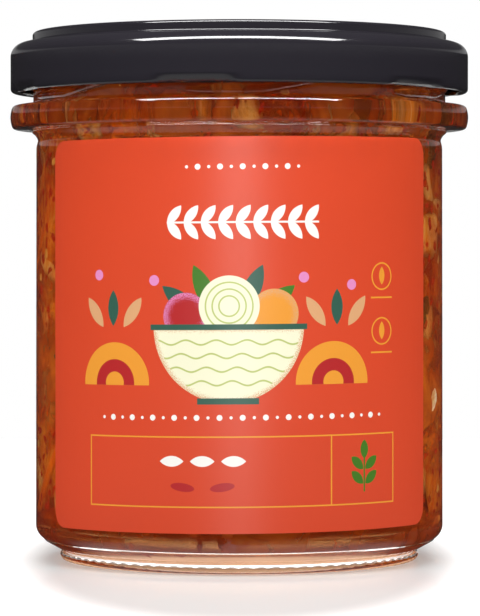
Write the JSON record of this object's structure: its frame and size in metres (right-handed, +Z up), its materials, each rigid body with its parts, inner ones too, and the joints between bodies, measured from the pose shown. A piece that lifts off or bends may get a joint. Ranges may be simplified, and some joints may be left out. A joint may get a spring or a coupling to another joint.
{
  "type": "kimchi jar",
  "caption": "Clear glass jar of kimchi with a heavy bead under a black twist-off lid and a coral paper label round its front.",
  "frame": {"origin": "centre of the flat ring that the jar stands on, at table height", "axes": "+Z up through the lid; -Y through the middle of the label; +X to the right of someone facing the label"},
  "size_m": [0.0856, 0.0856, 0.0985],
  "materials": {
    "glass": "clear, polished",
    "lid": "gloss black lacquer",
    "label": "satin coated paper",
    "kimchi": "wet"
  },
  "bodies": {
    "root": {"glass_jar": "glass", "lid": "lid", "label": "label", "kimchi": "kimchi"}
  },
  "joints": []
}
